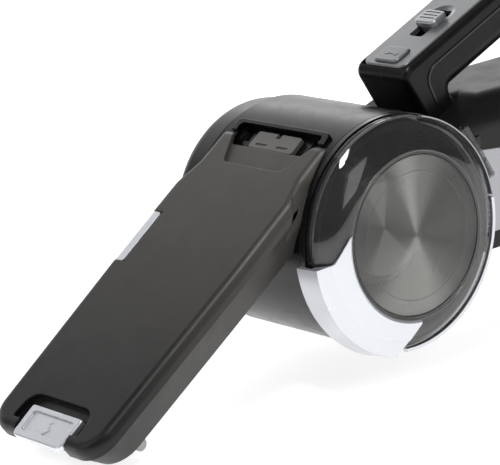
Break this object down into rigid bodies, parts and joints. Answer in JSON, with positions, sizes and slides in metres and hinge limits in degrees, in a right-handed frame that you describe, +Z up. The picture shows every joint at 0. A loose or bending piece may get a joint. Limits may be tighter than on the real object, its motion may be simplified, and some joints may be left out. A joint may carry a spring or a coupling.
{
  "type": "handheld vacuum",
  "caption": "Cordless handheld vacuum: folding flat nozzle on a transverse drum, clear dust bowl with door and latch, motor housing and loop handle.",
  "frame": {"origin": "bottom centre of the whole object as it stands on its heel and nozzle tip", "axes": "+Z up, +X along the drum axis towards the dust bowl, +Y towards the rear of the handle; the nozzle points to -Y and down"},
  "size_m": [0.1292, 0.4346, 0.2111],
  "materials": {
    "nozzle_shell": "satin taupe grey moulded plastic",
    "drum_black": "satin black moulded plastic",
    "end_cap_grey": "satin grey moulded plastic",
    "housing_shell": "satin taupe grey moulded plastic",
    "silver": "satin silver paint",
    "smoked_clear": "smoked clear plastic",
    "clear": "clear plastic",
    "seal_rubber": "matt black rubber",
    "spring_steel": "bright spring steel",
    "screw_steel": "zinc plated steel",
    "filter_paper": "pleated filter paper",
    "cone_plastic": "grey moulded plastic",
    "inner_plastic": "black moulded plastic",
    "cell_wrap": "shrink-wrapped cells",
    "motor_steel": "plated motor can",
    "board_green": "circuit board",
    "foam": "open foam",
    "bristle": "light grey nylon bristles",
    "brush_grey": "light grey moulded plastic",
    "tab_silver": "satin silver paint",
    "latch_grey": "satin grey moulded plastic",
    "grip_line": "satin grey line"
  },
  "bodies": {
    "housing": {"housing_left": "housing_shell", "housing_right": "housing_shell", "grip_insert": "silver", "grip_inlay_left": "grip_line", "grip_inlay_right": "grip_line", "side_panel_left": "silver", "side_panel_right": "silver", "heel_pad": "seal_rubber", "housing_screws": "screw_steel", "left_end_cap": "end_cap_grey", "left_bulkhead": "inner_plastic", "right_collar": "drum_black", "prefilter_cone": "cone_plastic", "motor_can": "motor_steel", "motor_mount": "seal_rubber", "fan_shroud": "inner_plastic", "battery_cells": "cell_wrap", "battery_tray": "inner_plastic", "control_board": "board_green", "power_switch": "inner_plastic", "charge_socket": "inner_plastic", "exhaust_filter": "foam", "button_carrier": "inner_plastic", "button_spring": "spring_steel"},
    "handle_button": {"handle_button": "silver"},
    "power_slider": {"power_slider": "latch_grey"},
    "rotor": {"impeller": "inner_plastic", "motor_shaft": "screw_steel"},
    "filter": {"filter_wheel": "latch_grey", "filter_shaft": "inner_plastic", "filter_frame": "inner_plastic", "pleated_filter": "filter_paper"},
    "nozzle": {"pivot_sleeve": "drum_black", "nozzle_upper": "nozzle_shell", "nozzle_lower": "nozzle_shell", "nozzle_screws": "screw_steel"},
    "neck_latch": {"neck_latch": "latch_grey"},
    "extension_button": {"extension_button": "tab_silver"},
    "crevice_tool": {"crevice_tool": "inner_plastic", "pull_tab": "tab_silver"},
    "brush": {"brush_frame": "brush_grey", "brush_bristles": "bristle"},
    "bowl": {"dust_bowl": "smoked_clear", "bowl_seal": "seal_rubber"},
    "door": {"door_dome": "smoked_clear", "door_window": "clear", "door_seal": "seal_rubber", "door_trim": "tab_silver", "hinge_band": "inner_plastic", "hinge_pin": "screw_steel", "latch_spring": "spring_steel"},
    "latch": {"door_latch": "tab_silver"}
  },
  "joints": [
    {"name": "nozzle_pivot", "type": "hinge", "parent": "housing", "child": "nozzle", "pos_m": [0.00135, -0.0187, 0.07545], "axis": [1, 0, 0], "range_deg": [-54, 135.5]},
    {"name": "tool_slide", "type": "slide", "parent": "nozzle", "child": "crevice_tool", "axis": [0, -0.8271, -0.5621], "range_m": [0, 0.06]},
    {"name": "brush_flip", "type": "hinge", "parent": "nozzle", "child": "brush", "pos_m": [0.00135, -0.17677, 0.00647], "axis": [-1, 0, 0], "range_deg": [0, 178]},
    {"name": "extension_press", "type": "slide", "parent": "nozzle", "child": "extension_button", "axis": [1, 0, 0], "range_m": [0, 0.0016], "stiffness_N_per_m": 600, "springref_m": -0.001},
    {"name": "neck_latch_slide", "type": "slide", "parent": "nozzle", "child": "neck_latch", "axis": [0, 0.8271, 0.5621], "range_m": [0, 0.002], "stiffness_N_per_m": 500, "springref_m": -0.001},
    {"name": "button_press", "type": "slide", "parent": "housing", "child": "handle_button", "axis": [0, 0.3843, -0.9232], "range_m": [0, 0.0022], "stiffness_N_per_m": 600, "springref_m": -0.001},
    {"name": "slider_move", "type": "slide", "parent": "housing", "child": "power_slider", "axis": [0, -0.9232, -0.3843], "range_m": [0, 0.008]},
    {"name": "rotor_spin", "type": "hinge", "parent": "housing", "child": "rotor", "pos_m": [0.00135, 0.0633, 0.08745], "axis": [0, 1, 0], "continuous": true},
    {"name": "filter_turn", "type": "hinge", "parent": "housing", "child": "filter", "pos_m": [0.00135, -0.0187, 0.07545], "axis": [1, 0, 0], "continuous": true},
    {"name": "bowl_slide", "type": "slide", "parent": "housing", "child": "bowl", "axis": [1, 0, 0], "range_m": [0, 0.085]},
    {"name": "door_swing", "type": "hinge", "parent": "bowl", "child": "door", "pos_m": [0.05145, 0.0364, 0.10474], "axis": [0, -0.4695, 0.8829], "range_deg": [0, 100]},
    {"name": "latch_slide", "type": "slide", "parent": "door", "child": "latch", "axis": [0, -0.7986, -0.6018], "range_m": [0, 0.003], "stiffness_N_per_m": 800, "springref_m": -0.001}
  ]
}
